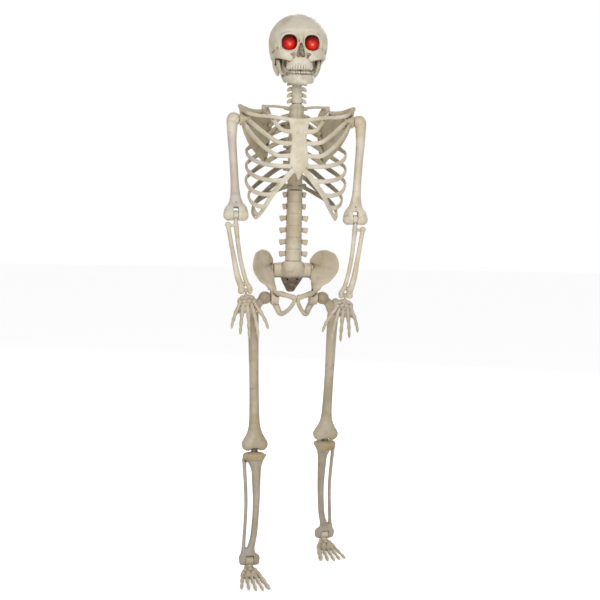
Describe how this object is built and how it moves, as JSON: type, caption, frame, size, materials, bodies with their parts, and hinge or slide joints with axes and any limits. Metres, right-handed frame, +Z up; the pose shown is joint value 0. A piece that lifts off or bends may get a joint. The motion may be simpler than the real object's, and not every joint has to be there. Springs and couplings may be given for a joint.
{
  "type": "skeleton figure",
  "caption": "Posable hanging skeleton figure with moulded bones on pinned joints, a swivelling head and waist, a hinged jaw, red lit eyes and a battery door in the skull.",
  "frame": {"origin": "centre of the hang hole on the crown of the skull", "axes": "+Z up, -Y the way the figure faces, +X the figure's left and along the hang hole"},
  "size_m": [0.3966, 0.4386, 1.5282],
  "materials": {
    "bone_plastic": "matte moulded plastic, ivory with brown wash in the hollows",
    "aged_plastic": "matte moulded plastic with a heavy brown wash",
    "red_lens": "clear red, polished",
    "lamp_clear": "clear, polished",
    "black_plastic": "matte black",
    "cell_jacket": "plain printed sleeve",
    "pin_steel": "bright drawn wire"
  },
  "bodies": {
    "skull": {"skull_face": "bone_plastic", "skull_back": "bone_plastic", "hang_tab": "bone_plastic", "eye_lenses": "red_lens", "eye_lamps": "lamp_clear", "lamp_holders": "black_plastic", "cells": "cell_jacket", "cell_contacts": "pin_steel", "battery_door": "bone_plastic", "door_screw": "pin_steel", "switch_housing": "black_plastic", "jaw_pins": "pin_steel"},
    "jaw": {"mandible": "bone_plastic"},
    "switch": {"switch_slider": "black_plastic"},
    "torso": {"neck": "bone_plastic", "neck_ring": "pin_steel", "ribcage_front": "bone_plastic", "right_ribcage_back": "aged_plastic", "left_ribcage_back": "aged_plastic", "right_shoulder_pin": "pin_steel", "left_shoulder_pin": "pin_steel"},
    "pelvis": {"lumbar_spine": "bone_plastic", "sacrum": "aged_plastic", "right_hip_bone": "bone_plastic", "left_hip_bone": "bone_plastic", "right_hip_pin": "pin_steel", "left_hip_pin": "pin_steel"},
    "right_upper_arm": {"right_humerus": "bone_plastic", "right_elbow_pin": "pin_steel"},
    "right_lower_arm": {"right_forearm": "bone_plastic", "right_wrist_pin": "pin_steel"},
    "right_hand": {"right_hand": "bone_plastic"},
    "right_thigh": {"right_femur": "bone_plastic", "right_knee_pin": "pin_steel"},
    "right_lower_leg": {"right_shin": "bone_plastic", "right_ankle_pin": "pin_steel"},
    "right_foot": {"right_foot": "bone_plastic"},
    "left_upper_arm": {"left_humerus": "bone_plastic", "left_elbow_pin": "pin_steel"},
    "left_lower_arm": {"left_forearm": "bone_plastic", "left_wrist_pin": "pin_steel"},
    "left_hand": {"left_hand": "bone_plastic"},
    "left_thigh": {"left_femur": "bone_plastic", "left_knee_pin": "pin_steel"},
    "left_lower_leg": {"left_shin": "bone_plastic", "left_ankle_pin": "pin_steel"},
    "left_foot": {"left_foot": "bone_plastic"}
  },
  "joints": [
    {"name": "head_swivel", "type": "hinge", "parent": "skull", "child": "torso", "pos_m": [0, -0.025, -0.172], "axis": [0, 0, 1], "range_deg": [-60, 60]},
    {"name": "jaw", "type": "hinge", "parent": "skull", "child": "jaw", "pos_m": [0, -0.033, -0.116], "axis": [1, 0, 0], "range_deg": [-3, 18]},
    {"name": "switch", "type": "slide", "parent": "skull", "child": "switch", "axis": [1, 0, 0], "range_m": [-0.004, 0]},
    {"name": "waist", "type": "hinge", "parent": "torso", "child": "pelvis", "pos_m": [0, -0.025, -0.475], "axis": [0, 0, 1], "range_deg": [-25, 25]},
    {"name": "right_shoulder", "type": "hinge", "parent": "torso", "child": "right_upper_arm", "pos_m": [-0.157, -0.037, -0.286], "axis": [-1, 0, 0], "range_deg": [-6, 150]},
    {"name": "right_elbow", "type": "hinge", "parent": "right_upper_arm", "child": "right_lower_arm", "pos_m": [-0.165, -0.10183, -0.54604], "axis": [-1, 0, 0], "range_deg": [-5, 120]},
    {"name": "right_wrist", "type": "hinge", "parent": "right_lower_arm", "child": "right_hand", "pos_m": [-0.138, -0.1702, -0.7446], "axis": [-1, 0, 0], "range_deg": [-25, 60]},
    {"name": "right_hip", "type": "hinge", "parent": "pelvis", "child": "right_thigh", "pos_m": [-0.07867, -0.05137, -0.773], "axis": [-0.9945, -0.1045, 0], "range_deg": [-40, 30]},
    {"name": "right_knee", "type": "hinge", "parent": "right_thigh", "child": "right_lower_leg", "pos_m": [-0.10416, -0.12459, -1.17086], "axis": [0.9945, 0.1045, 0], "range_deg": [0, 100]},
    {"name": "right_ankle", "type": "hinge", "parent": "right_lower_leg", "child": "right_foot", "pos_m": [-0.11544, -0.1799, -1.47615], "axis": [-0.9945, -0.1045, 0], "range_deg": [-30, 20]},
    {"name": "left_shoulder", "type": "hinge", "parent": "torso", "child": "left_upper_arm", "pos_m": [0.157, -0.037, -0.286], "axis": [-1, 0, 0], "range_deg": [-4, 150]},
    {"name": "left_elbow", "type": "hinge", "parent": "left_upper_arm", "child": "left_lower_arm", "pos_m": [0.165, -0.06036, -0.55298], "axis": [-1, 0, 0], "range_deg": [-5, 120]},
    {"name": "left_wrist", "type": "hinge", "parent": "left_lower_arm", "child": "left_hand", "pos_m": [0.138, -0.09682, -0.75979], "axis": [-1, 0, 0], "range_deg": [-25, 60]},
    {"name": "left_hip", "type": "hinge", "parent": "pelvis", "child": "left_thigh", "pos_m": [0.08244, -0.03444, -0.773], "axis": [-0.9945, -0.1045, 0], "range_deg": [-15, 35]},
    {"name": "left_knee", "type": "hinge", "parent": "left_thigh", "child": "left_lower_leg", "pos_m": [0.10792, 0.03878, -1.17086], "axis": [0.9945, 0.1045, 0], "range_deg": [0, 100]},
    {"name": "left_ankle", "type": "hinge", "parent": "left_lower_leg", "child": "left_foot", "pos_m": [0.1192, 0.0941, -1.47615], "axis": [-0.9945, -0.1045, 0], "range_deg": [-30, 20]}
  ]
}
